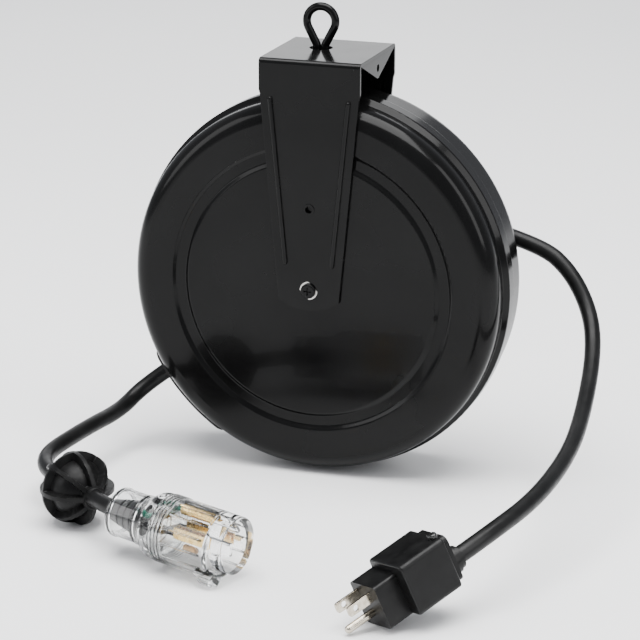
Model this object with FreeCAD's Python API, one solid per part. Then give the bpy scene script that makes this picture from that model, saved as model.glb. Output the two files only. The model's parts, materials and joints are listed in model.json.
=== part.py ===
"""Spring-driven extension cord reel that hangs from a swivelling bracket.

Units are millimetres.  +X is to the right of the reel's front, +Y runs from the front cover to the
rear cover along the axle, and +Z is up.  The origin lies under the middle of the drum, level with
the lowest point of its rim.  Drum pieces are drawn about the axle line and lifted when they are
saved; the pieces on the two cords are drawn along their own +X axis and placed.
"""
import FreeCAD, Part
import math
import os

V = FreeCAD.Vector
AXLE_LINE = V(0, 1, 0)
CENTRE = V(0, 0, 0)

# ---------------------------------------------------------------- driving dimensions
WALL_R = 125.0                  # outer radius of the rear cover's wall
COVER_SHEET = 1.2               # thickness of the drawn steel covers
FACE_Y = 35.2                   # distance of each cover's outer face from the middle
BRACKET_SHEET = 2.0
BRACKET_GAP = 0.6               # air between a bracket arm and the cover it passes over
CORD_R = 5.3                    # three-core 12 AWG cord
FIT = 0.05                      # radial clearance of a running fit
AIR = 0.3                       # clearance between pieces that turn past each other

# covers
SKIRT_R = WALL_R + 3.0          # flared skirt of the front cover, laps over the rear cover
FRONT_WALL_R = WALL_R - 0.4
SKIRT_START_Y = -12.0
SKIRT_END_Y = -1.4
JOGGLE_Y = -15.6
FRONT_FILLET = 12.0
REAR_FILLET = 13.0
RING_OUTER_R = 95.0             # the sunk ring pressed into the front face
RING_INNER_R = 85.5
RING_DEPTH = 1.8
COVER_HOLE_R = 8.5
INNER_Y = FACE_Y - COVER_SHEET
AXLE_Z = SKIRT_R

# bracket
ARM_OUTER_Y = FACE_Y + BRACKET_GAP + BRACKET_SHEET
ARM_INNER_Y = ARM_OUTER_Y - BRACKET_SHEET
PLATE_TOP = 151.4               # height of the top plate over the axle
PLATE_HALF_W = 34.0
ARM_NECK_TOP = 128.0            # below this height the arms taper
ARM_NECK_HALF_W = 33.2
ARM_FOOT_HALF_W = 20.5
ARM_FOOT_TOP = -7.0
ARM_FOOT_LOW = -13.4
BEAD_R = 1.6
BEAD_HEIGHT = 1.0
EYELET_Z = 54.2
EYELET_HOLE_R = 2.3
FLAP_DROP = 16.0
FLAP_HALF_BASE = 34.5
FLAP_HOLE_R = 2.5
HOOK_X = -6.6                   # the hook hangs left of and behind the plate's middle
HOOK_Y = 6.0
HOOK_HOLE_R = 7.6

# axle
AXLE_R = 6.0
AXLE_FLAT = 4.2                 # half distance over the flats of the axle's keyed ends
FLAT_ANGLE = 45.0
SCREW_R = 2.2
SCREW_HEAD_R = 5.0
SCREW_HEAD_H = 2.4

# spool
HUB_R = 30.0
FLANGE_R = 101.0
FLANGE_SHEET = 1.2
FRONT_FLANGE_Y = -12.6
REAR_FLANGE_Y = 21.4
WOUND_R = 89.4
LEAD_R = WOUND_R + AIR + CORD_R
CAN_R = 78.0
CAN_RIVET_CIRCLE_R = 83.2
CAN_FRONT_Y = -31.5
ARBOR_R = 10.0
BUSH_R = 9.0

# ratchet
RATCHET_R = 60.0
PAWL_PIVOT = (22.0, -70.0)
PAWL_TURN = 12.0

# cord guide, on the lower left of the rim
GUIDE_ANGLE = 222.8
GUIDE_HALF = 15.6
GUIDE_FLANGE_R = 132.0
GUIDE_NECK_HALF = 13.4
GUIDE_SLOT_HALF = 11.9
GUIDE_SLOT_W = 9.2              # half width of the guide's slot

# cord pieces
BALL_R = 23.5
BALL_CENTRE = V(-110, -166, 23.5)
BALL_AXIS = V(0.79, -0.613, 0)
CONNECTOR_START = V(-67, -201, 25.9)
CONNECTOR_AXIS = V(0.9545, -0.2918, -0.061)
CONNECTOR_R = 21.0
CONNECTOR_LENGTH = 91.0
PLUG_FACE = V(113, -268.4, 21.3)
PLUG_AXIS = V(-0.544, -0.764, -0.347)
PLUG_UP = V(-0.343, -0.175, 0.923)
PLUG_EXIT = V(-59.5, 10.0, -9.2)     # where the cord leaves the plug, in the plug's own frame
GLAND_FOOT = V(60, 0, 37)       # from the axle line, on the rear cover's face
GLAND_HEIGHT = 10.8
GLAND_AXIS = V(0.978, 0, -0.208)
GLAND_LENGTH = 36.0

BLADE_OFFSET = 6.35             # half the spacing of the plug's blades
GROUND_DROP = 11.9              # from the blades' line to the ground pin

# Routes of the two cords, from the reel outwards, in the reel's own frame
SUPPLY_ROUTE = [
    V(133.6, 46, 149.4), V(155.9, 39.5, 134.5), V(172.3, 28.3, 111.4), V(180.8, 3.8, 91.3),
    V(187.2, -49, 69.1), V(190.6, -99.8, 58.6), V(184.9, -156.8, 49.7), V(170.6, -207.3, 44.3),
]
OUTLET_ROUTE = [
    V(-111.1, -1, 52.8), V(-129, -7.2, 39.6), V(-136.8, -29.7, 28.4), V(-143.1, -74.4, 29.7),
    V(-155.9, -130.6, 23.6), BALL_CENTRE, V(-73.5, -199, 25.9),
]
LEAD_REACH = 30.0               # the lead's straight run through the cord guide
CORD_IN_CONNECTOR = 19.0


# ---------------------------------------------------------------- drawing helpers
def save(name, shape, lift=True):
    """Write one node; drum pieces are lifted from the axle line to the reel's frame."""
    if lift:
        shape = shape.translated(V(0, 0, AXLE_Z))
    if not shape.isValid():
        print("not valid:", name)
    shape.exportStep(os.path.join("parts", name + ".step"))


def join(shapes):
    """Fuse touching shapes into one clean solid."""
    return shapes[0].multiFuse(shapes[1:]).removeSplitter()


def group(shapes):
    """Keep separate solids together in one node."""
    return Part.makeCompound(shapes)


def tube(outer, start, end, inner=0.0):
    """A cylinder or ring about the axle line, from y = start to y = end."""
    body = Part.makeCylinder(outer, end - start, V(0, start, 0), AXLE_LINE)
    if inner:
        body = body.cut(Part.makeCylinder(inner, end - start, V(0, start, 0), AXLE_LINE))
    return body


def rod(radius, start, end, x=0.0, z=0.0):
    """A cylinder parallel to the axle through (x, z)."""
    return Part.makeCylinder(radius, end - start, V(x, start, z), AXLE_LINE)


def polar(radius, degrees):
    """(x, z) of a point at this radius and angle, counted from +X towards +Z."""
    angle = math.radians(degrees)
    return radius * math.cos(angle), radius * math.sin(angle)


def sector(inner, outer, start, end, middle, half):
    """A block of a ring about the axle line, spanning middle -/+ half degrees."""
    corners = [V(inner, start, 0), V(outer, start, 0), V(outer, end, 0), V(inner, end, 0)]
    face = Part.Face(Part.makePolygon(corners + corners[:1]))
    face.rotate(CENTRE, AXLE_LINE, -(middle - half))
    return face.revolve(CENTRE, AXLE_LINE, -2 * half)


def corner(before, here, after, radius):
    """Tangent points and middle of the arc of this radius that rounds a corner."""
    back = (before - here).normalize()
    ahead = (after - here).normalize()
    half = 0.5 * back.getAngle(ahead)
    reach = radius / math.tan(half)
    centre = here + (back + ahead).normalize() * (radius / math.sin(half))
    return here + back * reach, centre + (here - centre).normalize() * radius, here + ahead * reach


def path_edges(points, radii):
    """Straight runs joined by tangent arcs through an open list of points."""
    edges = []
    last = points[0]
    for index in range(1, len(points) - 1):
        if radii[index] <= 0:
            edges.append(Part.LineSegment(last, points[index]).toShape())
            last = points[index]
            continue
        start, middle, end = corner(points[index - 1], points[index], points[index + 1], radii[index])
        if (start - last).Length > 1e-6:
            edges.append(Part.LineSegment(last, start).toShape())
        edges.append(Part.Arc(start, middle, end).toShape())
        last = end
    if (points[-1] - last).Length > 1e-6:
        edges.append(Part.LineSegment(last, points[-1]).toShape())
    return edges


def offset_points(points, distance):
    """Move an open outline sideways (to its left for a positive distance), with its bend radii."""
    moved = []
    radii = []
    count = len(points)
    for index, (x, y, radius) in enumerate(points):
        before = points[max(index - 1, 0)]
        after = points[min(index + 1, count - 1)]
        normals = []
        for first, second in ((before, points[index]), (points[index], after)):
            run = math.hypot(second[0] - first[0], second[1] - first[1])
            if run > 1e-9:
                normals.append(((first[1] - second[1]) / run, (second[0] - first[0]) / run))
        (ax, ay), (bx, by) = normals[0], normals[-1]
        share = distance / (1 + ax * bx + ay * by)
        moved.append(V(x + (ax + bx) * share, y + (ay + by) * share, 0))
        left_turn = ax * by - ay * bx > 0
        radii.append(0 if radius == 0 else max(radius - distance if left_turn else radius + distance, 0.05))
    return moved, radii


def sheet_face(points, thickness):
    """Section of bent sheet: an outline of (x, y, bend radius) thickened to its left."""
    outer, outer_radii = offset_points(points, 0)
    inner, inner_radii = offset_points(points, thickness)
    edges = path_edges(outer, outer_radii) + path_edges(inner, inner_radii)
    edges.append(Part.LineSegment(outer[0], inner[0]).toShape())
    edges.append(Part.LineSegment(outer[-1], inner[-1]).toShape())
    return Part.Face(Part.Wire(Part.__sortEdges__(edges)))


def closed_face(points):
    """A face with rounded corners from a closed outline of (x, y, radius), first corner sharp."""
    corners = [V(x, y, 0) for x, y, _ in points] + [V(points[0][0], points[0][1], 0)]
    radii = [radius for _, _, radius in points] + [0]
    return Part.Face(Part.Wire(path_edges(corners, radii)))


def spun(points, thickness):
    """Bent sheet revolved about the axle line; points are (radius, y, bend radius)."""
    return sheet_face(points, thickness).revolve(CENTRE, AXLE_LINE, 360)


def upright(face, depth, start):
    """Turn a face drawn in X and Z (as x, y) upright and extrude it along +Y from y = start."""
    face.rotate(CENTRE, V(1, 0, 0), 90)
    face.translate(V(0, start, 0))
    return face.extrude(V(0, depth, 0))


def sideways(face, half_width):
    """Turn a face drawn in Y and Z (as x, y) sideways and extrude it both ways along X."""
    face.rotate(CENTRE, V(1, 1, 1), 120)
    face.translate(V(-half_width, 0, 0))
    return face.extrude(V(2 * half_width, 0, 0))


def pipe(points, radii, radius):
    """A round wire, lead or cord along straight runs and tangent arcs."""
    wire = Part.Wire(path_edges(points, radii))
    start = wire.Edges[0].firstVertex().Point
    ahead = (points[1] - points[0]).normalize()
    ring = Part.Wire(Part.Circle(start, ahead, radius).toShape())
    return wire.makePipeShell([ring], True, True)


def coil(radius, wire_r, pitch, turns):
    """A helical spring along +Z from the origin."""
    helix = Part.makeHelix(pitch, pitch * turns, radius)
    ring = Part.Wire(Part.Circle(V(radius, 0, 0), V(0, 1, 0), wire_r).toShape())
    return helix.makePipeShell([ring], True, True)


def placed(shape, origin, axis, up=V(0, 0, 1)):
    """Move a shape from its own frame (+X along axis, +Z towards up) to the reel's frame."""
    x_dir = V(axis).normalize()
    y_dir = up.cross(x_dir).normalize()
    turn = FreeCAD.Rotation(x_dir, y_dir, x_dir.cross(y_dir), "XYZ")
    result = shape.copy()
    result.Placement = FreeCAD.Placement(origin, turn).multiply(result.Placement)
    return result


def lathe(points):
    """A closed outline of (x, radius, corner radius) turned about the local X axis."""
    return closed_face(points).revolve(CENTRE, V(1, 0, 0), 360)


def bar(radius, start, end, y=0.0, z=0.0, inner=0.0):
    """A cylinder along the local X axis."""
    body = Part.makeCylinder(radius, end - start, V(start, y, z), V(1, 0, 0))
    if inner:
        body = body.cut(Part.makeCylinder(inner, end - start, V(start, y, z), V(1, 0, 0)))
    return body


def block(x0, x1, y0, y1, z0, z1):
    return Part.makeBox(x1 - x0, y1 - y0, z1 - z0, V(x0, y0, z0))


# ---------------------------------------------------------------- covers
POST_ANGLES = (40, 140, 255, 325)
POST_CIRCLE_R = 108.0
POST_R = 3.5
POST_BORE_R = 1.75


def guide_cut():
    """The opening in the rim that the cord guide fills."""
    return sector(110, 140, -12, 12, GUIDE_ANGLE, GUIDE_NECK_HALF + 0.2)


def build_covers():
    step = 1.5
    front = spun([
        (COVER_HOLE_R, -FACE_Y, 0),
        (RING_INNER_R - 1, -FACE_Y, step),
        (RING_INNER_R + 1.5, -FACE_Y + RING_DEPTH, step),
        (RING_OUTER_R - 1.5, -FACE_Y + RING_DEPTH, step),
        (RING_OUTER_R + 1, -FACE_Y, step),
        (FRONT_WALL_R, -FACE_Y, FRONT_FILLET),
        (FRONT_WALL_R, JOGGLE_Y, step),
        (SKIRT_R, SKIRT_START_Y, step),
        (SKIRT_R, SKIRT_END_Y, 0),
    ], COVER_SHEET)
    lip_r = SKIRT_R - COVER_SHEET - 0.2
    rear = spun([
        (COVER_HOLE_R, FACE_Y, 0),
        (WALL_R, FACE_Y, REAR_FILLET),
        (WALL_R, -1.0, 0.6),
        (lip_r, -2.6, 0.6),
        (lip_r, -9.5, 0),
    ], -COVER_SHEET)
    rear = rear.cut(Part.makeCylinder(7.2, 4, V(GLAND_FOOT.x, INNER_Y - 1, GLAND_FOOT.z), AXLE_LINE))
    for angle in POST_ANGLES:
        x, z = polar(POST_CIRCLE_R, angle)
        rear = rear.cut(rod(2.0, INNER_Y - 1, FACE_Y + 1, x, z))
        rear = rear.cut(Part.makeCone(2.0, 3.4, 1.3, V(x, FACE_Y - 1.2, z), AXLE_LINE))
    save("front_cover", front.cut(guide_cut()))
    save("rear_cover", rear.cut(guide_cut()))


def build_cover_fasteners():
    posts = []
    screws = []
    for angle in POST_ANGLES:
        x, z = polar(POST_CIRCLE_R, angle)
        posts.append(rod(POST_R, -INNER_Y, INNER_Y, x, z).cut(rod(POST_BORE_R, 16, INNER_Y, x, z)))
        head = Part.makeCone(1.7, 3.0, 1.0, V(x, FACE_Y - 1.15, z), AXLE_LINE)
        cross = join([
            block(x - 1.8, x + 1.8, FACE_Y - 0.6, FACE_Y + 1, z - 0.35, z + 0.35),
            block(x - 0.35, x + 0.35, FACE_Y - 0.6, FACE_Y + 1, z - 1.8, z + 1.8),
        ])
        screws.append(join([head, rod(1.7, 18, FACE_Y - 1.1, x, z)]).cut(cross))
    save("cover_posts", group(posts))
    save("cover_screws", group(screws))


def build_cord_guide():
    flange = sector(SKIRT_R + 0.3, GUIDE_FLANGE_R, -15, 15, GUIDE_ANGLE, GUIDE_HALF)
    tall = [edge for edge in flange.Edges
            if edge.Length < 6 and abs(edge.tangentAt(edge.FirstParameter).y) < 0.1]
    flange = flange.makeFillet(6.0, tall)
    neck = sector(121.5, SKIRT_R + 0.5, -11.7, 11.7, GUIDE_ANGLE, GUIDE_NECK_HALF)
    catch = sector(117, 121.6, -13, 13, GUIDE_ANGLE, GUIDE_NECK_HALF + 1.2)
    slot = sector(112, 140, -GUIDE_SLOT_W, GUIDE_SLOT_W, GUIDE_ANGLE, GUIDE_SLOT_HALF)
    save("cord_guide", join([flange, neck, catch]).cut(slot))


# ---------------------------------------------------------------- bracket, hook and axle
def arm_outline():
    """Face of the arms as seen from the front, in X and Z, drawn as one closed outline."""
    left = [(-PLATE_HALF_W, PLATE_TOP), (-PLATE_HALF_W, ARM_NECK_TOP + 3),
            (-ARM_NECK_HALF_W, ARM_NECK_TOP), (-ARM_FOOT_HALF_W, ARM_FOOT_TOP)]
    points = [V(x, z, 0) for x, z in left]
    edges = [Part.LineSegment(a, b).toShape() for a, b in zip(points, points[1:])]
    mirror = [V(-p.x, p.y, 0) for p in points]
    edges.append(Part.Arc(points[-1], V(0, ARM_FOOT_LOW, 0), mirror[-1]).toShape())
    edges += [Part.LineSegment(b, a).toShape() for a, b in zip(mirror, mirror[1:])][::-1]
    edges.append(Part.LineSegment(mirror[0], points[0]).toShape())
    return Part.Face(Part.Wire(edges))


def double_d(radius, flat, start, end):
    """The axle's keyed end: a round bar with two flats."""
    key = block(-flat, flat, start, end, -2 * radius, 2 * radius)
    key.rotate(CENTRE, AXLE_LINE, -FLAT_ANGLE)
    return tube(radius, start, end).common(key)


def bead(side, face, radius, height):
    """A raised bead along one edge of an arm, as a capsule sunk into the arm's face."""
    low = V(side * 15.9, face, 18.0)
    high = V(side * 26.3, face, 125.5)
    run = high - low
    body = Part.makeCylinder(radius, run.Length, low, run)
    body = join([body, Part.makeSphere(radius, low), Part.makeSphere(radius, high)])
    body.translate(V(0, math.copysign(height - radius, face), 0))
    return body


def build_bracket():
    bend = 3.0
    strap = sideways(sheet_face([
        (ARM_OUTER_Y, ARM_FOOT_LOW - 1, 0),
        (ARM_OUTER_Y, PLATE_TOP, bend),
        (-ARM_OUTER_Y, PLATE_TOP, bend),
        (-ARM_OUTER_Y, ARM_FOOT_LOW - 1, 0),
    ], BRACKET_SHEET), PLATE_HALF_W)
    strap = strap.common(upright(arm_outline(), 4 * ARM_OUTER_Y, -2 * ARM_OUTER_Y))
    flaps = upright(sheet_face([
        (PLATE_HALF_W, PLATE_TOP - FLAP_DROP, 0),
        (PLATE_HALF_W, PLATE_TOP, 2.6),
        (-PLATE_HALF_W, PLATE_TOP, 2.6),
        (-PLATE_HALF_W, PLATE_TOP - FLAP_DROP, 0),
    ], BRACKET_SHEET), 2 * FLAP_HALF_BASE, -FLAP_HALF_BASE)
    triangle = closed_face([
        (-FLAP_HALF_BASE, PLATE_TOP + 1, 0),
        (-FLAP_HALF_BASE, PLATE_TOP - 2.4, 0),
        (0, PLATE_TOP - FLAP_DROP - 0.6, 2.5),
        (FLAP_HALF_BASE, PLATE_TOP - 2.4, 0),
        (FLAP_HALF_BASE, PLATE_TOP + 1, 0),
    ])
    flaps = flaps.common(sideways(triangle, PLATE_HALF_W + 1))
    body = join([strap, flaps])
    for face in (-ARM_OUTER_Y, ARM_OUTER_Y):
        inner = math.copysign(ARM_INNER_Y, face)
        for side in (-1, 1):
            body = body.fuse(bead(side, face, BEAD_R, BEAD_HEIGHT))
            body = body.cut(bead(side, inner, BEAD_R - 0.4, BEAD_HEIGHT - 0.2))
    body = body.cut(rod(EYELET_HOLE_R + 0.6, -50, 50, 0, EYELET_Z))
    body = body.cut(double_d(AXLE_R + FIT, AXLE_FLAT + FIT, -50, 50))
    body = body.cut(Part.makeCylinder(FLAP_HOLE_R, 80, V(-40, 0, PLATE_TOP - 9.4), V(1, 0, 0)))
    body = body.cut(Part.makeCylinder(HOOK_HOLE_R, 10, V(HOOK_X, HOOK_Y, PLATE_TOP - 5), V(0, 0, 1)))
    save("bracket", body.removeSplitter())


def build_eyelets():
    """A rolled eyelet lines the hole in each arm."""
    eyelets = []
    for sign in (-1, 1):
        outer = sign * (ARM_OUTER_Y + 0.5)
        inner = sign * (ARM_INNER_Y + 0.1)
        barrel = rod(EYELET_HOLE_R + 0.6, min(outer, inner), max(outer, inner), 0, EYELET_Z)
        rim = rod(EYELET_HOLE_R + 1.5, min(outer, sign * ARM_OUTER_Y), max(outer, sign * ARM_OUTER_Y),
                  0, EYELET_Z)
        eyelets.append(join([barrel, rim]).cut(rod(EYELET_HOLE_R, -50, 50, 0, EYELET_Z)))
    save("arm_eyelets", group(eyelets))


def build_hook():
    """A keyhole-shaped wire eye: its two legs pass the plate and spread out under it."""
    wire_r = 2.7
    loop_r = 9.7
    under = PLATE_TOP - BRACKET_SHEET - AIR - wire_r
    neck_x = wire_r + 0.1
    neck_z = PLATE_TOP + 2.0
    loop_z = neck_z + 15.4
    reach = math.hypot(neck_x, loop_z - neck_z)
    lean = math.atan2(loop_z - neck_z, -neck_x) - math.asin(loop_r / reach)
    touch = math.sqrt(reach ** 2 - loop_r ** 2)
    leave = V(neck_x + touch * math.cos(lean), 0, neck_z + touch * math.sin(lean))
    top = V(0, 0, loop_z + loop_r)
    sides = []
    for side in (1, -1):
        foot = V(side * 13.5, 0, under)
        heel = V(side * neck_x, 0, under)
        neck = V(side * neck_x, 0, neck_z)
        join_point = V(side * leave.x, 0, leave.z)
        edges = path_edges([foot, heel, neck, join_point], [0, wire_r + 0.3, 4.0, 0])
        sides.append(edges)
    arc = Part.Arc(V(leave.x, 0, leave.z), top, V(-leave.x, 0, leave.z)).toShape()
    wire = Part.Wire(sides[0] + [arc] + list(reversed(sides[1])))
    ring = Part.Wire(Part.Circle(V(13.5, 0, under), V(1, 0, 0), wire_r).toShape())
    body = wire.makePipeShell([ring], True, True)
    save("hook", body.translated(V(HOOK_X, HOOK_Y, 0)))


def build_axle():
    end = ARM_OUTER_Y
    shoulder = ARM_INNER_Y - 0.1
    body = join([
        tube(AXLE_R, -shoulder, shoulder),
        double_d(AXLE_R, AXLE_FLAT, -end, -shoulder),
        double_d(AXLE_R, AXLE_FLAT, shoulder, end),
    ])
    for low, high in ((-end, -end + 16), (end - 16, end)):
        body = body.cut(tube(SCREW_R + FIT, low, high))
    save("axle", body)
    screws = []
    for sign in (-1, 1):
        head = Part.makeCylinder(SCREW_HEAD_R, SCREW_HEAD_H, V(0, sign * end, 0), V(0, sign, 0))
        rim = [edge for edge in head.Edges if abs(abs(edge.BoundBox.YMin) - end - SCREW_HEAD_H) < 0.01]
        head = head.makeFillet(1.2, rim)
        shank = Part.makeCylinder(SCREW_R, 14, V(0, sign * end, 0), V(0, -sign, 0))
        top = sign * (end + SCREW_HEAD_H)
        low, high = sorted((top - sign * 1.4, top + sign))
        cross = join([block(-2.6, 2.6, low, high, -0.5, 0.5), block(-0.5, 0.5, low, high, -2.6, 2.6)])
        screws.append(join([head, shank]).cut(cross))
    save("axle_screws", group(screws))
    save("spring_arbor", tube(ARBOR_R, -29.2, -14.2, AXLE_R))


# ---------------------------------------------------------------- spool and spring
def build_bushings():
    """Flanged bushings: two hold the covers on the axle, two carry the spool."""
    for name, sign in (("front_bushing", -1), ("rear_bushing", 1)):
        sleeve = sorted((sign * FACE_Y, sign * (INNER_Y - 1.4)))
        collar = sorted((sign * INNER_Y, sign * (INNER_Y - 1.4)))
        body = join([tube(COVER_HOLE_R - FIT, *sleeve), tube(12.0, *collar)])
        save(name, body.cut(tube(AXLE_R + FIT, -50, 50)))
    bushes = []
    for face, sign in ((FRONT_FLANGE_Y, 1), (REAR_FLANGE_Y + FLANGE_SHEET, -1)):
        sleeve = sorted((face, face + sign * 10))
        collar = sorted((face + sign * FLANGE_SHEET, face + sign * (FLANGE_SHEET + 1.5)))
        body = join([tube(BUSH_R, *sleeve), tube(13.0, *collar)])
        bushes.append(body.cut(tube(AXLE_R + FIT, -50, 50)))
    save("spool_bushings", group(bushes))


def build_spool():
    """The hub and two flanges that carry the wound cord, and the rivets that hold the spring can."""
    save("spool_hub", tube(HUB_R, FRONT_FLANGE_Y + FLANGE_SHEET, REAR_FLANGE_Y, HUB_R - 2))
    rear = tube(FLANGE_R, REAR_FLANGE_Y, REAR_FLANGE_Y + FLANGE_SHEET, BUSH_R)
    for angle in (70, 190, 310):
        x, z = polar(66, angle)
        rear = rear.cut(rod(11, REAR_FLANGE_Y - 1, REAR_FLANGE_Y + 3, x, z))
    save("rear_flange", rear)
    front = tube(FLANGE_R, FRONT_FLANGE_Y, FRONT_FLANGE_Y + FLANGE_SHEET, BUSH_R)
    rivets = []
    for index in range(6):
        x, z = polar(CAN_RIVET_CIRCLE_R, 60 * index + 30)
        front = front.cut(rod(2.0, FRONT_FLANGE_Y - 1, FRONT_FLANGE_Y + 3, x, z))
        rivets.append(join([
            rod(2.0, FRONT_FLANGE_Y - 1.0, FRONT_FLANGE_Y + FLANGE_SHEET, x, z),
            rod(3.2, FRONT_FLANGE_Y - 1.8, FRONT_FLANGE_Y - 1.0, x, z),
        ]))
    save("front_flange", front)
    save("can_rivets", group(rivets))


def build_wound_cord():
    """The cord on the spool, as one ring with the ridges of its outer turns."""
    low = FRONT_FLANGE_Y + FLANGE_SHEET + 0.1
    high = REAR_FLANGE_Y - 0.1
    base_r = WOUND_R - CORD_R
    pack = tube(base_r, low, high, HUB_R)
    turns = 3
    pitch = (high - low) / turns
    for index in range(turns):
        middle = low + pitch * (index + 0.5)
        ridge = Part.makeTorus(base_r, CORD_R, V(0, middle, 0), AXLE_LINE)
        pack = pack.fuse(ridge.cut(tube(base_r - 0.5, middle - 8, middle + 8)))
    save("wound_cord", pack.removeSplitter())


def build_spring_can():
    wall = spun([
        (COVER_HOLE_R + 4, CAN_FRONT_Y, 0),
        (CAN_R, CAN_FRONT_Y, 3.0),
        (CAN_R, FRONT_FLANGE_Y - 1.0, 1.5),
        (CAN_R + 9, FRONT_FLANGE_Y - 1.0, 0),
    ], 1.0)
    for index in range(6):
        x, z = polar(CAN_RIVET_CIRCLE_R, 60 * index + 30)
        wall = wall.cut(rod(2.0, FRONT_FLANGE_Y - 3, FRONT_FLANGE_Y + 1, x, z))
    save("spring_can", wall)


def build_mainspring():
    """A flat spiral strip, drawn as half turns about two centres half a pitch apart."""
    inner = ARBOR_R + 0.6
    turns = 13
    pitch = (CAN_R - 1.8 - inner) / turns
    strip = 1.2
    sides = []
    for extra in (0.0, strip):
        edges = []
        for half in range(2 * turns - 1):
            radius = inner + extra + pitch * half / 2
            sign = 1 if half % 2 == 0 else -1
            middle = 0 if half % 2 == 0 else pitch / 2
            edges.append(Part.Arc(V(middle + sign * radius, 0, 0), V(middle, sign * radius, 0),
                                  V(middle - sign * radius, 0, 0)).toShape())
        sides.append(edges)
    caps = []
    for pick in (0, -1):
        first = sides[0][pick].Vertexes[0 if pick == 0 else -1].Point
        second = sides[1][pick].Vertexes[0 if pick == 0 else -1].Point
        caps.append(Part.LineSegment(first, second).toShape())
    face = Part.Face(Part.Wire(Part.__sortEdges__(sides[0] + sides[1] + caps)))
    save("mainspring", upright(face, 14.0, -28.6))


# ---------------------------------------------------------------- ratchet and slip rings
def hairpin_spring(middle):
    """A wire spring bent round a pin in one plane, with two short legs."""
    wire_r = 0.6
    leg = 5.0
    bend_points = []
    for angle in (150, 270, 390):
        x, z = polar(6.0, angle)
        bend_points.append(middle + V(x, 0, z))
    bend = Part.Arc(*bend_points).toShape()
    first = bend_points[0] - bend.tangentAt(bend.FirstParameter) * leg
    last = bend_points[2] + bend.tangentAt(bend.LastParameter) * leg
    wire = Part.Wire([
        Part.LineSegment(first, bend_points[0]).toShape(),
        bend,
        Part.LineSegment(bend_points[2], last).toShape(),
    ])
    ring = Part.Wire(Part.Circle(first, bend_points[0] - first, wire_r).toShape())
    return wire.makePipeShell([ring], True, True)


def build_ratchet():
    wheel = tube(RATCHET_R, REAR_FLANGE_Y + FLANGE_SHEET, REAR_FLANGE_Y + FLANGE_SHEET + 3, 45)
    for turn in (0, 180):
        notch = upright(closed_face([
            (-16, -RATCHET_R - 2, 0), (-16, -RATCHET_R + 1, 0), (5.5, -RATCHET_R + 7, 1.0),
            (7.5, -RATCHET_R - 2, 0),
        ]), 10, REAR_FLANGE_Y)
        notch.rotate(CENTRE, AXLE_LINE, turn)
        wheel = wheel.cut(notch)
    save("ratchet_wheel", wheel)
    x, z = PAWL_PIVOT
    low = REAR_FLANGE_Y + FLANGE_SHEET + 0.8
    arm = upright(closed_face([
        (x - 2, z + 5.2, 0), (3.0, -63.3, 1.0), (1.0, -61.4, 0.5), (-1.4, -61.4, 0.5),
        (-1.4, -64.0, 1.0), (x - 6, z - 5.0, 3.0), (x + 2, z - 6, 1.0),
    ]), 2.0, low)
    pawl = join([arm, rod(6.5, low, low + 2.0, x, z)]).cut(rod(2.5 + FIT, low - 1, low + 4, x, z))
    save("pawl", pawl)
    pin = join([
        rod(2.5, low - 0.2, INNER_Y, x, z),
        rod(4.5, low + 2.3, INNER_Y, x, z),
        rod(4.0, low - 0.5, low - 0.2, x, z),
    ])
    save("pawl_pin", pin)
    save("pawl_spring", hairpin_spring(V(x, low + 3.2, z)))


RING_RADII = (15.0, 20.5, 26.0)
HOLDER_ANGLE = 31.7


def build_slip_rings():
    base = REAR_FLANGE_Y + FLANGE_SHEET
    save("slip_ring_carrier", tube(30, base, base + 3, BUSH_R))
    rings = [tube(radius + 1.6, base + 3, base + 3.8, radius - 1.6) for radius in RING_RADII]
    save("slip_rings", group(rings))
    contact = base + 3.8 + AIR
    low = 28.2
    holder = block(12.6, 29.5, low, INNER_Y, -5, 5)
    brushes = []
    springs = []
    for radius in RING_RADII:
        holder = holder.cut(block(radius - 1.6, radius + 1.6, low - 1, INNER_Y - 0.8, -1.6, 1.6))
        brushes.append(block(radius - 1.5, radius + 1.5, contact, contact + 3.6, -1.5, 1.5))
        spring = coil(1.0, 0.2, 0.8, 3)
        spring.rotate(CENTRE, V(1, 0, 0), -90)
        springs.append(spring.translated(V(radius, contact + 3.8, 0)))
    for name, shape in (("brush_holder", holder), ("brushes", group(brushes)),
                        ("brush_springs", group(springs))):
        shape.rotate(CENTRE, AXLE_LINE, -HOLDER_ANGLE)
        save(name, shape)


# ---------------------------------------------------------------- supply side
def build_gland():
    """Elbow gland on the rear cover with a tapered sleeve that lets the cord bend."""
    foot = V(GLAND_FOOT.x, FACE_Y, GLAND_FOOT.z)
    stem = Part.makeCylinder(7.0, 2.8, V(foot.x, INNER_Y - 1.6, foot.z), AXLE_LINE)
    nut = Part.makeCylinder(9.5, 1.5, V(foot.x, INNER_Y - 1.6, foot.z), AXLE_LINE)
    base = Part.makeCylinder(12.0, 2.5, foot, AXLE_LINE)
    dome = Part.makeCylinder(9.0, GLAND_HEIGHT, foot, AXLE_LINE)
    centre = foot + V(0, GLAND_HEIGHT, 0)
    ball = Part.makeSphere(9.0, centre)
    cone = Part.makeCone(8.2, CORD_R + 0.9, GLAND_LENGTH, centre, GLAND_AXIS)
    body = join([stem, nut, base, dome, ball, cone])
    for index in range(4):
        middle = centre + V(GLAND_AXIS) * (15 + 5 * index)
        groove = Part.makeCylinder(12, 1.6, middle, GLAND_AXIS)
        core = Part.makeCylinder(CORD_R + 0.6, 1.6, middle, GLAND_AXIS)
        body = body.cut(groove.cut(core))
    bore = Part.makeCylinder(CORD_R, GLAND_LENGTH, centre + V(GLAND_AXIS) * 12, GLAND_AXIS)
    save("supply_gland", body.cut(bore))
    return centre + V(0, 0, AXLE_Z)


WIRE_R = 1.3


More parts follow.
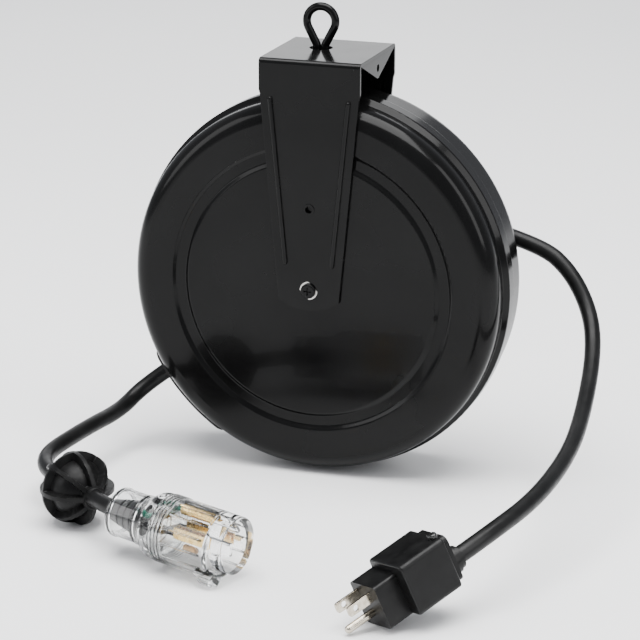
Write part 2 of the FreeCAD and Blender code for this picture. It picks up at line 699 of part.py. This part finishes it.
def build_supply_wires():
    """Three insulated cores run from the gland to the brush holder."""
    turn_r = 2.9
    far = math.hypot(GLAND_FOOT.x, GLAND_FOOT.z)
    level = 29.6
    for name, offset in (("live_core", -3.0), ("earth_core", 0.0), ("neutral_core", 3.0)):
        points = [V(29.5, level, offset), V(far, level, offset), V(far, INNER_Y - 1.6, offset)]
        wire = pipe(points, [0, turn_r - 0.1, 0], WIRE_R)
        wire.rotate(CENTRE, AXLE_LINE, -HOLDER_ANGLE)
        save(name, wire)


def cord_radii(route):
    """Each bend is as large as its two runs allow."""
    radii = [0.0]
    for index in range(1, len(route) - 1):
        back = route[index] - route[index - 1]
        ahead = route[index + 1] - route[index]
        half_turn = 0.5 * back.getAngle(ahead)
        radii.append(0.45 * min(back.Length, ahead.Length) / math.tan(half_turn))
    return radii + [0.0]


def build_cord(name, route):
    radii = cord_radii(route)
    cord = pipe(route, radii, CORD_R)
    length = sum(edge.Length for edge in path_edges(route, radii))
    print(name, "length", round(length, 1), "radii", [round(r) for r in radii[1:-1]])
    print("  volume / (section x length)", round(cord.Volume / (math.pi * CORD_R ** 2 * length), 4),
          "lowest", round(cord.BoundBox.ZMin, 1))
    save(name, cord, lift=False)
    return cord


# ---------------------------------------------------------------- plug
def place_plug(shape):
    return placed(shape, PLUG_FACE, PLUG_AXIS, PLUG_UP)


def long_block(x0, x1, y0, y1, z0, z1, radius):
    """A block whose edges along the local X axis are rounded."""
    body = block(x0, x1, y0, y1, z0, z1)
    edges = [edge for edge in body.Edges if abs(edge.tangentAt(edge.FirstParameter).x) > 0.9]
    return body.makeFillet(radius, edges)


def build_plug():
    """A grounded plug that leans on its pins; local +X is the way the blades point."""
    front = long_block(-18, 0, -12.3, 13.6, -21.2, 6.8, 2.2)
    rear = long_block(-48.7, -16.1, -11.7, 23.0, -20.6, 12.4, 3.0)
    ends = [edge for edge in rear.Edges if edge.BoundBox.XLength < 0.01]
    back = long_block(-52.5, -48, -7.5, 20.0, -19.0, 11.0, 4.0)
    body = join([front, rear.makeFillet(1.4, ends), back])
    lamp_at = V(-46.5, 15.5, 10.0)
    body = body.cut(Part.makeCylinder(3.0, 6.0, lamp_at, V(0, 0, 1)))
    save("plug_body", place_plug(body), lift=False)
    lens = Part.makeCylinder(3.0, 5.4, lamp_at, V(0, 0, 1))
    top = [edge for edge in lens.Edges if edge.BoundBox.ZMin > lamp_at.z + 5.3]
    save("plug_lamp", place_plug(lens.makeFillet(1.2, top)), lift=False)
    y, z = PLUG_EXIT.y, PLUG_EXIT.z
    sleeve = join([bar(8.6, -56.5, -52.5, y, z), bar(7.4, PLUG_EXIT.x, -56.5, y, z)])
    save("plug_sleeve", place_plug(sleeve), lift=False)
    blades = []
    for side in (-BLADE_OFFSET, BLADE_OFFSET):
        blade = upright(closed_face([
            (0, -3.17, 0), (17.5, -3.17, 1.6), (17.5, 3.17, 1.6), (0, 3.17, 0),
        ]), 1.5, side - 0.75)
        blades.append(blade.cut(Part.makeCylinder(1.9, 4, V(11.9, side - 2, 0), V(0, 1, 0))))
    save("plug_blades", place_plug(group(blades)), lift=False)
    pin = bar(2.4, 0, 20.6, 0, -GROUND_DROP)
    pin = pin.makeFillet(2.0, [edge for edge in pin.Edges if edge.BoundBox.XMin > 20.5])
    save("plug_ground_pin", place_plug(pin), lift=False)
    return place_plug(Part.Vertex(PLUG_EXIT)).Point


# ---------------------------------------------------------------- ball stop
def build_ball_stop(cord):
    """A ribbed ball in two halves, screwed together over the cord."""
    ball = join([Part.makeSphere(19.0), bar(8.0, -23, 23), bar(21.5, -4.5, -2)])
    for index in range(4):
        angle = math.radians(22.5 + 45 * index)
        normal = V(0, math.cos(angle), math.sin(angle))
        ball = ball.fuse(Part.makeCylinder(BALL_R, 2.4, normal * -1.2, normal))
    screws = []
    for x in (-10, 10):
        ball = ball.cut(Part.makeCylinder(1.6, 40, V(x, 9, -20), V(0, 0, 1)))
        ball = ball.cut(Part.makeCylinder(3.0, 20, V(x, 9, 8), V(0, 0, 1)))
        screws.append(join([
            Part.makeCylinder(1.5, 17, V(x, 9, -9), V(0, 0, 1)),
            Part.makeCylinder(2.8, 2.2, V(x, 9, 8), V(0, 0, 1)),
        ]))
    for name, low in (("ball_stop_upper", 0), ("ball_stop_lower", -30)):
        half = ball.common(block(-40, 40, -40, 40, low, low + 30))
        save(name, placed(half, BALL_CENTRE, BALL_AXIS).cut(cord), lift=False)
    save("ball_stop_screws", placed(group(screws), BALL_CENTRE, BALL_AXIS), lift=False)


# ---------------------------------------------------------------- lighted connector
def place_connector(shape):
    return placed(shape, CONNECTOR_START, CONNECTOR_AXIS)


def build_connector(cord):
    """A clear moulded socket with the cord's strain relief, cores and contacts inside it."""
    shell = lathe([
        (0, 13.0, 0), (0, 15.2, 1.5), (24, 15.2, 2.0), (28, 17.0, 0.5), (29, CONNECTOR_R, 7.0),
        (82, CONNECTOR_R - 0.8, 2.5), (82, 14.0, 0),
    ])
    nose = bar(17.0, 78, CONNECTOR_LENGTH, 0, 4.5)
    rim = [edge for edge in nose.Edges if edge.BoundBox.XMin > CONNECTOR_LENGTH - 0.1]
    shell = join([shell, bar(14.5, 20, CONNECTOR_LENGTH), nose.makeFillet(1.5, rim)])
    shell = shell.cut(bar(13.0, -1, 27)).cut(bar(11.5, 26, 42))
    shell = shell.cut(bar(17.6, 38, 78))
    tab = join([block(74, 87, -5, 5, 17, 23.5), block(77, 85, -3, 3, 17, 25.6)])
    tab = placed(tab, CENTRE, V(1, 0, 0), V(0, -0.72, -0.69))
    shell = join([shell, tab.cut(bar(18, 60, 90))])
    for side in (-BLADE_OFFSET, BLADE_OFFSET):
        shell = shell.cut(block(70, 94, side - 1.2, side + 1.2, -1.0, 7.0))
    height = 3.0 + GROUND_DROP
    shell = shell.cut(bar(2.9, 70, 94, 0, height)).cut(bar(3.2, 49, 77, 0, height))
    save("connector_body", place_connector(shell), lift=False)

    relief = lathe([
        (-4, 0, 0), (-4, CORD_R + 1.4, 0.4), (5, 8.6, 0.5), (22, 12.0, 1.0), (22, 0, 0),
    ])
    for index in range(3):
        start = 5 + 5.5 * index
        relief = relief.cut(bar(15, start, start + 1.4, inner=7.4))
    save("connector_strain_relief", place_connector(relief).cut(cord), lift=False)

    cores = {
        "connector_live_core": ([V(23, 3, -2), V(33, 4, -3), V(42, 6.35, 1), V(49.8, 6.35, 1)]),
        "connector_neutral_core": ([V(23, -3, -2), V(33, -4, -3), V(42, -6.35, 1), V(49.8, -6.35, 1)]),
        "connector_earth_core": ([V(23.4, 0, 3), V(33, 0, 6), V(41, 0, 11), V(46, 0, 14.9), V(49.8, 0, 14.9)]),
    }
    for name, points in cores.items():
        bends = [0] + [4] * (len(points) - 2) + [0]
        save(name, place_connector(pipe(points, bends, 1.5)), lift=False)

    contacts = []
    for side in (-BLADE_OFFSET, BLADE_OFFSET):
        clip = block(50, 76, side - 2.6, side + 2.6, -0.5, 6.5)
        contacts.append(clip.cut(block(54, 80, side - 1.4, side + 1.4, -1, 7)))
    save("connector_contacts", place_connector(group(contacts)), lift=False)
    earth = bar(2.9, 50, 76, 0, height).cut(bar(2.5, 54, 80, 0, height))
    save("connector_earth_contact", place_connector(earth), lift=False)
    lamp = join([bar(2.2, 52, 60, 0, -9), Part.makeSphere(2.2, V(60, 0, -9))])
    save("connector_lamp", place_connector(lamp), lift=False)


# ---------------------------------------------------------------- cords
def build_lead():
    """The cord's last half turn inside the drum, from the winding out through the guide."""
    mouth = OUTLET_ROUTE[0] - V(0, 0, AXLE_Z)
    outward = (OUTLET_ROUTE[1] - OUTLET_ROUTE[0]).normalize()
    bend = mouth - outward * LEAD_REACH
    leave = math.degrees(math.atan2(bend.z, bend.x)) % 360
    leave -= math.degrees(math.acos(LEAD_R / math.hypot(bend.x, bend.z)))
    points = []
    for angle in (leave - 60, leave - 30, leave):
        x, z = polar(LEAD_R, angle)
        points.append(V(x, bend.y, z))
    wrap = Part.Arc(*points).toShape()
    route = [points[2], bend, mouth]
    radii = cord_radii(route)
    edges = [wrap] + path_edges(route, radii)
    wire = Part.Wire(edges)
    ring = Part.Wire(Part.Circle(points[0], wrap.tangentAt(wrap.FirstParameter), CORD_R).toShape())
    lead = wire.makePipeShell([ring], True, True)
    print("inner lead length", round(wire.Length, 1), "bend radius", round(radii[1], 1))
    print("  volume / (section x length)", round(lead.Volume / (math.pi * CORD_R ** 2 * wire.Length), 4))
    save("inner_lead", lead)


def build_cords(gland_centre, plug_end):
    gland_end = gland_centre + V(GLAND_AXIS) * GLAND_LENGTH
    route = [gland_end] + SUPPLY_ROUTE + [plug_end]
    print("gland end", gland_end, "plug end", plug_end)
    build_cord("supply_cord", route)
    end = CONNECTOR_START + V(CONNECTOR_AXIS).normalize() * CORD_IN_CONNECTOR
    print("outlet cord ends", end)
    return build_cord("outlet_cord", OUTLET_ROUTE + [end])


def main():
    os.makedirs("parts", exist_ok=True)
    build_covers()
    build_cover_fasteners()
    build_cord_guide()
    build_bracket()
    build_eyelets()
    build_hook()
    build_axle()
    build_bushings()
    build_spool()
    build_wound_cord()
    build_spring_can()
    build_mainspring()
    build_ratchet()
    build_slip_rings()
    gland_centre = build_gland()
    build_supply_wires()
    plug_end = build_plug()
    build_lead()
    outlet_cord = build_cords(gland_centre, plug_end)
    build_ball_stop(outlet_cord)
    build_connector(outlet_cord)


main()
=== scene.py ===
import json
import math

import bmesh
import bpy
from mathutils import Matrix, Vector


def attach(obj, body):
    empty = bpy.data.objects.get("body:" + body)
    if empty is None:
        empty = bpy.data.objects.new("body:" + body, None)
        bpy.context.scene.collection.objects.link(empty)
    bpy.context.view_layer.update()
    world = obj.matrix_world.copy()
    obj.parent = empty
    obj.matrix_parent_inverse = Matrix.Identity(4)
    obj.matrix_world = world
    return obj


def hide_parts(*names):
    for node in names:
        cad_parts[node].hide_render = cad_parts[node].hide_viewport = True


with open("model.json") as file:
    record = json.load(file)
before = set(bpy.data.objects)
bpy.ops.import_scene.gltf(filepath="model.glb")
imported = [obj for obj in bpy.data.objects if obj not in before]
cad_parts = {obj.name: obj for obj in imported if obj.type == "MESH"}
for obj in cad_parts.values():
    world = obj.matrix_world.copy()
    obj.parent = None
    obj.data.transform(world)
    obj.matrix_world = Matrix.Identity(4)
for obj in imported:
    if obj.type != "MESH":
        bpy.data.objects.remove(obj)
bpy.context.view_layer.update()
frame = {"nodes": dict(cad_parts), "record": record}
nodes = frame["nodes"]

AXLE_Z = 0.128          # height of the drum's axle over the floor
CORD_R = 0.0053         # of both cords


# ---------------------------------------------------------------- camera
AZIMUTH = math.radians(18.49)
ELEVATION = math.radians(16.95)
ROLL = math.radians(0.21)
LENS_MM = 157.75
SENSOR_MM = 36
DISTANCE = 1.8535       # from the aim
SHIFT_LEFT = 0.00454    # the aim lies this far left of the axle and below it
SHIFT_DOWN = 0.02935


def add_camera():
    """A long lens, a little to the reel's right and above it."""
    back = Vector((math.sin(AZIMUTH) * math.cos(ELEVATION),
                   -math.cos(AZIMUTH) * math.cos(ELEVATION), math.sin(ELEVATION)))
    level = Vector((math.cos(AZIMUTH), math.sin(AZIMUTH), 0))
    upward = back.cross(level)
    right = level * math.cos(ROLL) + upward * math.sin(ROLL)
    up = upward * math.cos(ROLL) - level * math.sin(ROLL)
    data = bpy.data.cameras.new("camera")
    data.lens = LENS_MM
    data.sensor_width = SENSOR_MM
    camera = bpy.data.objects.new("camera", data)
    bpy.context.scene.collection.objects.link(camera)
    place = Vector((0, 0, AXLE_Z)) + back * DISTANCE - right * SHIFT_LEFT - up * SHIFT_DOWN
    turn = Matrix((right, up, back)).transposed().to_4x4()
    camera.matrix_world = Matrix.Translation(place) @ turn
    bpy.context.scene.camera = camera


add_camera()


# ---------------------------------------------------------------- cords
def add_cord(name, points, node):
    """A round cord on a smooth curve that its route's points control.

    The points carry the cord's radius, so that the curve's own box is as thick as the cord.
    """
    data = bpy.data.curves.new(name, "CURVE")
    data.dimensions = "3D"
    data.bevel_depth = 1.0
    data.bevel_resolution = 8
    data.resolution_u = 16
    data.use_fill_caps = True
    spline = data.splines.new("NURBS")
    spline.points.add(len(points) - 1)
    for place, point in zip(spline.points, points):
        place.co = (*point, 1)
        place.radius = CORD_R
    spline.order_u = 3
    spline.use_endpoint_u = True
    cord = bpy.data.objects.new(name, data)
    bpy.context.scene.collection.objects.link(cord)
    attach(cord, "drum")
    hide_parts(node)
    return cord


SUPPLY_ROUTE = [
    (0.095208, 0.046, 0.157512), (0.1336, 0.046, 0.1494), (0.1559, 0.0395, 0.1345),
    (0.1723, 0.0283, 0.1114), (0.1808, 0.0038, 0.0913), (0.1872, -0.049, 0.0691),
    (0.1906, -0.0998, 0.0586), (0.1849, -0.1568, 0.0497), (0.1706, -0.2073, 0.0443),
    (0.15618, -0.22754, 0.03512),
]
OUTLET_ROUTE = [
    (-0.1111, -0.001, 0.0528), (-0.129, -0.0072, 0.0396), (-0.1368, -0.0297, 0.0284),
    (-0.1431, -0.0744, 0.0297), (-0.1559, -0.1306, 0.0236), (-0.110, -0.166, 0.0235),
    (-0.0735, -0.199, 0.0259), (-0.048864, -0.206544, 0.024741),
]
supply_cord = add_cord("supply_cord_jacket", SUPPLY_ROUTE, "supply_cord")
outlet_cord = add_cord("outlet_cord_jacket", OUTLET_ROUTE, "outlet_cord")


# ---------------------------------------------------------------- materials
class Finish:
    """A procedural material: a Principled shader with noise on its colour, roughness and bump."""

    NOISE_LOW = 0.35        # the part of the noise's range that is used
    NOISE_HIGH = 0.65
    SHADE_DETAIL = 4
    BUMP_DETAIL = 3

    def __init__(self, name, inputs):
        self.material = bpy.data.materials.new(name)
        self.material.use_nodes = True
        self.tree = self.material.node_tree
        self.shader = self.tree.nodes["Principled BSDF"]
        self.place = self.tree.nodes.new("ShaderNodeTexCoord")
        self.normal = None
        for key, value in inputs.items():
            self.shader.inputs[key].default_value = value

    def noise(self, scale, detail):
        node = self.tree.nodes.new("ShaderNodeTexNoise")
        node.inputs["Scale"].default_value = scale
        node.inputs["Detail"].default_value = detail
        self.tree.links.new(self.place.outputs["Object"], node.inputs["Vector"])
        return node.outputs["Fac"]

    def colour(self, scale, low, high):
        node = self.tree.nodes.new("ShaderNodeValToRGB")
        first, last = node.color_ramp.elements
        first.position, first.color = self.NOISE_LOW, (*low, 1)
        last.position, last.color = self.NOISE_HIGH, (*high, 1)
        self.tree.links.new(self.noise(scale, self.SHADE_DETAIL), node.inputs["Fac"])
        self.tree.links.new(node.outputs["Color"], self.shader.inputs["Base Color"])

    def roughness(self, scale, low, high):
        node = self.tree.nodes.new("ShaderNodeMapRange")
        node.inputs["From Min"].default_value = self.NOISE_LOW
        node.inputs["From Max"].default_value = self.NOISE_HIGH
        node.inputs["To Min"].default_value = low
        node.inputs["To Max"].default_value = high
        self.tree.links.new(self.noise(scale, self.SHADE_DETAIL), node.inputs["Value"])
        self.tree.links.new(node.outputs["Result"], self.shader.inputs["Roughness"])

    def bump(self, scale, distance, strength):
        node = self.tree.nodes.new("ShaderNodeBump")
        node.inputs["Distance"].default_value = distance
        node.inputs["Strength"].default_value = strength
        self.tree.links.new(self.noise(scale, self.BUMP_DETAIL), node.inputs["Height"])
        if self.normal:
            self.tree.links.new(self.normal, node.inputs["Normal"])
        self.use_normal(node.outputs["Normal"])

    def soft_edges(self, radius):
        """Rounds sharp edges in the shading."""
        node = self.tree.nodes.new("ShaderNodeBevel")
        node.samples = 6
        node.inputs["Radius"].default_value = radius
        self.use_normal(node.outputs["Normal"])

    def use_normal(self, output):
        self.normal = output
        self.tree.links.new(output, self.shader.inputs["Normal"])


def grey(level):
    return (level, level, level)


# Each row: slot, material name, Principled inputs, colour noise (scale, low, high), roughness noise
# (scale, low, high), radius of softened edges, bump noise (scale, depth, strength).
FINISH_ROWS = [
    ("black_paint", "gloss_black_paint",
     {"Specular IOR Level": 0.09, "Coat Weight": 0.06, "Coat Roughness": 0.04},
     (14, grey(0.002), grey(0.004)), (30, 0.13, 0.20), 0.0006, (900, 0.00001, 0.25)),
    ("bracket_paint", "gloss_bracket_paint",
     {"Specular IOR Level": 0.09, "Coat Weight": 0.07, "Coat Roughness": 0.04},
     (18, grey(0.002), grey(0.004)), (40, 0.11, 0.18), 0.0005, (700, 0.00001, 0.3)),
    ("zinc_steel", "zinc_plated_steel", {"Metallic": 1.0},
     (260, (0.45, 0.44, 0.42), (0.62, 0.61, 0.58)), (400, 0.22, 0.38), 0.0002,
     (1500, 0.00002, 0.4)),
    ("spring_steel", "blued_spring_steel", {"Metallic": 1.0},
     (120, (0.10, 0.11, 0.13), (0.20, 0.20, 0.22)), (300, 0.25, 0.4), None, None),
    ("nylon", "black_nylon", {"IOR": 1.53},
     (90, grey(0.008), grey(0.014)), (240, 0.28, 0.42), 0.0004, (2400, 0.00002, 0.3)),
    ("black_plastic", "satin_black_plastic", {"Specular IOR Level": 0.2},
     (120, grey(0.005), grey(0.009)), (300, 0.30, 0.42), 0.0005, (2600, 0.00003, 0.35)),
    ("ball_rubber", "ball_stop_rubber", {"Specular IOR Level": 0.12},
     (140, grey(0.003), grey(0.006)), (300, 0.34, 0.46), None, (2600, 0.00003, 0.3)),
    ("black_vinyl", "black_vinyl_jacket", {"Specular IOR Level": 0.16},
     (60, grey(0.003), grey(0.006)), (180, 0.30, 0.42), None, (1400, 0.00005, 0.35)),
    ("clear_plastic", "clear_polycarbonate", {"Transmission Weight": 1.0, "IOR": 1.36},
     (50, (0.95, 0.96, 0.955), (0.98, 0.98, 0.975)), (220, 0.02, 0.07), None, (320, 0.00006, 0.4)),
    ("brass", "stamped_brass", {"Metallic": 1.0},
     (300, (0.70, 0.47, 0.17), (0.85, 0.62, 0.27)), (500, 0.18, 0.34), 0.0002,
     (2200, 0.00003, 0.4)),
    ("nickel", "nickel_plated_brass", {"Metallic": 1.0},
     (350, (0.42, 0.37, 0.29), (0.58, 0.53, 0.44)), (600, 0.12, 0.24), 0.0002,
     (2600, 0.00002, 0.35)),
    ("copper_ring", "copper_slip_rings", {"Metallic": 1.0},
     (200, (0.60, 0.28, 0.15), (0.75, 0.38, 0.22)), (300, 0.2, 0.4), None, None),
    ("carbon", "pressed_carbon", {}, (700, grey(0.02), grey(0.05)), (900, 0.5, 0.7), None, None),
    ("green_core", "green_core_insulation", {"IOR": 1.5},
     (200, (0.00, 0.13, 0.08), (0.01, 0.22, 0.14)), (400, 0.3, 0.45), None, None),
    ("black_core", "black_core_insulation", {"IOR": 1.5},
     (200, grey(0.010), grey(0.020)), (400, 0.3, 0.45), None, None),
    ("white_core", "white_core_insulation", {"IOR": 1.5},
     (200, (0.72, 0.72, 0.70), (0.82, 0.82, 0.80)), (400, 0.3, 0.45), None, None),
    ("amber_lens", "amber_lens", {"Transmission Weight": 0.7, "IOR": 1.49},
     (150, (0.75, 0.42, 0.12), (0.85, 0.52, 0.2)), (400, 0.1, 0.2), None, None),
    ("smoked_lens", "smoked_lens", {"Transmission Weight": 0.3, "IOR": 1.49},
     (150, grey(0.012), grey(0.02)), (400, 0.08, 0.16), None, None),
    ("grey_relief", "grey_strain_relief", {"IOR": 1.5},
     (90, grey(0.010), grey(0.022)), (300, 0.35, 0.5), None, None),
]


def make_finishes():
    finishes = {}
    for slot, name, inputs, colour, roughness, edge_radius, bump in FINISH_ROWS:
        finish = Finish(name, inputs)
        finish.colour(*colour)
        finish.roughness(*roughness)
        if edge_radius:
            finish.soft_edges(edge_radius)
        if bump:
            finish.bump(*bump)
        finishes[slot] = finish.material
    return finishes


FINISHES = make_finishes()


def paint(piece, slot):
    """Gives a piece one finish all over."""
    data = piece.data
    if not data.materials:
        data.materials.append(FINISHES[slot])
    for index in range(len(data.materials)):
        data.materials[index] = FINISHES[slot]


for part in frame["record"]["subparts"]:
    paint(nodes[part["node"]], part["material_slot"])
paint(nodes["plug_lamp"], "smoked_lens")
paint(nodes["axle_screws"], "bracket_paint")
paint(nodes["arm_eyelets"], "bracket_paint")
paint(nodes["connector_strain_relief"], "grey_relief")
paint(supply_cord, "black_vinyl")
paint(outlet_cord, "black_vinyl")


# ---------------------------------------------------------------- ball stop and connector
SHARP_ANGLE = math.radians(40)


def frame_at(origin, axis):
    """A local frame whose +X is the axis and whose +Z is as near upright as it can be."""
    along = Vector(axis).normalized()
    side = Vector((0, 0, 1)).cross(along).normalized()
    up = along.cross(side)
    turn = Matrix((along, side, up)).transposed().to_4x4()
    return Matrix.Translation(Vector(origin)) @ turn


def add_mesh(name, shape, frame_matrix, slot, *replaced):
    """Turns a bmesh in a local frame into a smooth piece that rides on the drum."""
    bmesh.ops.recalc_face_normals(shape, faces=shape.faces)
    shape.transform(frame_matrix)
    mesh = bpy.data.meshes.new(name)
    shape.to_mesh(mesh)
    shape.free()
    piece = bpy.data.objects.new(name, mesh)
    bpy.context.scene.collection.objects.link(piece)
    mesh.shade_smooth()
    mesh.set_sharp_from_angle(angle=SHARP_ANGLE)
    mesh.materials.append(FINISHES[slot])
    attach(piece, "drum")
    if replaced:
        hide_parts(*replaced)
    return piece


def revolve(shape, count, stations, surface=None):
    """Adds a closed solid round the X axis and returns its vertices.

    A station is (x, radius), unless surface works that out from the station and the angle.
    """
    rings = []
    for station in stations:
        ring = []
        for index in range(count):
            angle = 2 * math.pi * index / count
            x, radius = surface(station, angle) if surface else station
            ring.append(shape.verts.new((x, radius * math.cos(angle), radius * math.sin(angle))))
        rings.append(ring)
    for low, high in zip(rings, rings[1:]):
        for index in range(count):
            after = (index + 1) % count
            shape.faces.new((low[index], low[after], high[after], high[index]))
    shape.faces.new(rings[0])
    shape.faces.new(rings[-1][::-1])
    return [vertex for ring in rings for vertex in ring]


def smooth_step(value, low, high):
    part = min(1.0, max(0.0, (value - low) / (high - low)))
    return part * part * (3 - 2 * part)


BALL_R = 0.0235
PANEL_DEPTH = 0.0050
RIB_HALF = 0.0015
RIB_EDGE = 0.0005
HUB_R = 0.0078
RING_X = -0.0032        # middle of the ring where the ball's two halves meet
RIB_SPACING = math.pi / 4
HUB_EDGE = 0.0012
MOUTH_R = 0.0056        # of the flat at each pole, where the cord goes in
BALL_RINGS = 130        # mesh steps from mouth to mouth, and round the ball
BALL_SEGMENTS = 320
HUB_SEGMENTS = 48
BALL_PLACE = frame_at((-0.110, -0.166, 0.0235), (0.79, -0.613, 0))
HUB_PROFILE = [                                         # x, radius
    (0.0200, 0.0060), (0.0200, 0.0074), (0.0234, 0.0074), (0.0240, 0.0068), (0.0240, 0.0058),
]


def ball_surface(polar, angle):
    """The ball is proud along eight ribs, at its hubs and at the joint ring, and sunk between."""
    reach = BALL_R * math.sin(polar)
    off_rib = abs((angle + RIB_SPACING / 2) % RIB_SPACING - RIB_SPACING / 2) * reach
    x = -BALL_R * math.cos(polar)
    off_ring = abs(x - RING_X)
    off_hub = reach - HUB_R
    sunk = smooth_step(off_rib, RIB_HALF, RIB_HALF + RIB_EDGE)
    sunk *= smooth_step(off_ring, RIB_HALF, RIB_HALF + RIB_EDGE)
    sunk *= smooth_step(off_hub, 0, HUB_EDGE)
    scale = 1 - sunk * PANEL_DEPTH / BALL_R
    return x * scale, reach * scale


def add_ball_stop():
    """The ribbed ball with a hub at each pole. It has no bore: the cord runs through the solid."""
    shape = bmesh.new()
    mouth = math.asin(MOUTH_R / BALL_R)
    span = math.pi - 2 * mouth
    polars = [mouth + span * index / BALL_RINGS for index in range(BALL_RINGS + 1)]
    revolve(shape, BALL_SEGMENTS, polars, ball_surface)
    for side in (-1, 1):
        revolve(shape, HUB_SEGMENTS, [(side * x, radius) for x, radius in HUB_PROFILE])
    return add_mesh("ball_stop_shell", shape, BALL_PLACE, "ball_rubber",
                    "ball_stop_upper", "ball_stop_lower")


CONNECTOR_PLACE = frame_at((-0.067, -0.201, 0.0259), (0.9545, -0.2918, -0.061))
COLLAR_R = 0.0150
BODY_R = 0.0208
RING_PROUD = 0.0006
RING_SEGMENTS = 96
RING_ROWS = [                                           # start, radius it stands on, width
    (0.0015, COLLAR_R, 0.0022), (0.0200, COLLAR_R, 0.0022), (0.0380, BODY_R, 0.0010),
    (0.0405, BODY_R, 0.0010), (0.0430, BODY_R, 0.0010), (0.0455, BODY_R, 0.0010),
]
REEDS = 14
REED_OFFSET = 0.0207    # from the connector's axis
REED_SEGMENTS = 12
REED_PROFILE = [(0.0490, 0.0002), (0.0496, 0.0007), (0.0774, 0.0007), (0.0780, 0.0002)]


def add_connector_rings():
    """Moulded rings round the connector's collar and shoulder, and reeds along its body.

    Each ring is a whole disc, because revolve closes both ends, so it also crosses the inside.
    """
    shape = bmesh.new()
    for start, radius, width in RING_ROWS:
        revolve(shape, RING_SEGMENTS, [
            (start, radius - 0.0010), (start, radius + 0.0001),
            (start + 0.25 * width, radius + RING_PROUD),
            (start + 0.75 * width, radius + RING_PROUD),
            (start + width, radius + 0.0001), (start + width, radius - 0.0010),
        ])
    for index in range(REEDS):
        angle = 2 * math.pi * index / REEDS
        reed = revolve(shape, REED_SEGMENTS, REED_PROFILE)
        offset = (0, REED_OFFSET * math.cos(angle), REED_OFFSET * math.sin(angle))
        bmesh.ops.translate(shape, verts=reed, vec=offset)
    return add_mesh("connector_rings", shape, CONNECTOR_PLACE, "clear_plastic")


ball_stop = add_ball_stop()
connector_rings = add_connector_rings()


# ---------------------------------------------------------------- stage
def add_floor():
    mesh = bpy.data.meshes.new("floor")
    shape = bmesh.new()
    bmesh.ops.create_grid(shape, x_segments=8, y_segments=8, size=9)
    shape.to_mesh(mesh)
    shape.free()
    floor = bpy.data.objects.new("floor", mesh)
    bpy.context.scene.collection.objects.link(floor)
    white = Finish("white_floor", {})
    white.colour(0.8, grey(0.90), grey(0.93))
    white.roughness(2, 0.5, 0.6)
    mesh.materials.append(white.material)


def add_light(name, place, target, width, height, power):
    data = bpy.data.lights.new(name, "AREA")
    data.shape = "RECTANGLE"
    data.size = width
    data.size_y = height
    data.energy = power
    light = bpy.data.objects.new(name, data)
    light.location = place
    light.rotation_euler = (Vector(target) - Vector(place)).to_track_quat("-Z", "Y").to_euler()
    bpy.context.scene.collection.objects.link(light)


# Each row: name, place, target, width, height, power.
LIGHT_ROWS = [
    ("top_softbox", (0.1, -0.3, 2.2), (0, 0, 0.1), 2.2, 1.8, 150),
    ("back_softbox", (-0.7, 2.0, 0.8), (0, 0, 0.25), 1.8, 0.9, 9),
    ("left_softbox", (-1.9, -1.2, 1.1), (0, 0, 0.12), 0.9, 1.6, 20),
    ("right_softbox", (1.9, -0.5, 1.2), (0, 0, 0.12), 0.7, 1.6, 22),
]


def add_lights():
    world = bpy.data.worlds.new("studio")
    bpy.context.scene.world = world
    world.use_nodes = True
    background = world.node_tree.nodes["Background"]
    background.inputs["Color"].default_value = (0.9, 0.93, 1.0, 1)
    background.inputs["Strength"].default_value = 0.55
    for row in LIGHT_ROWS:
        add_light(*row)


add_floor()
add_lights()
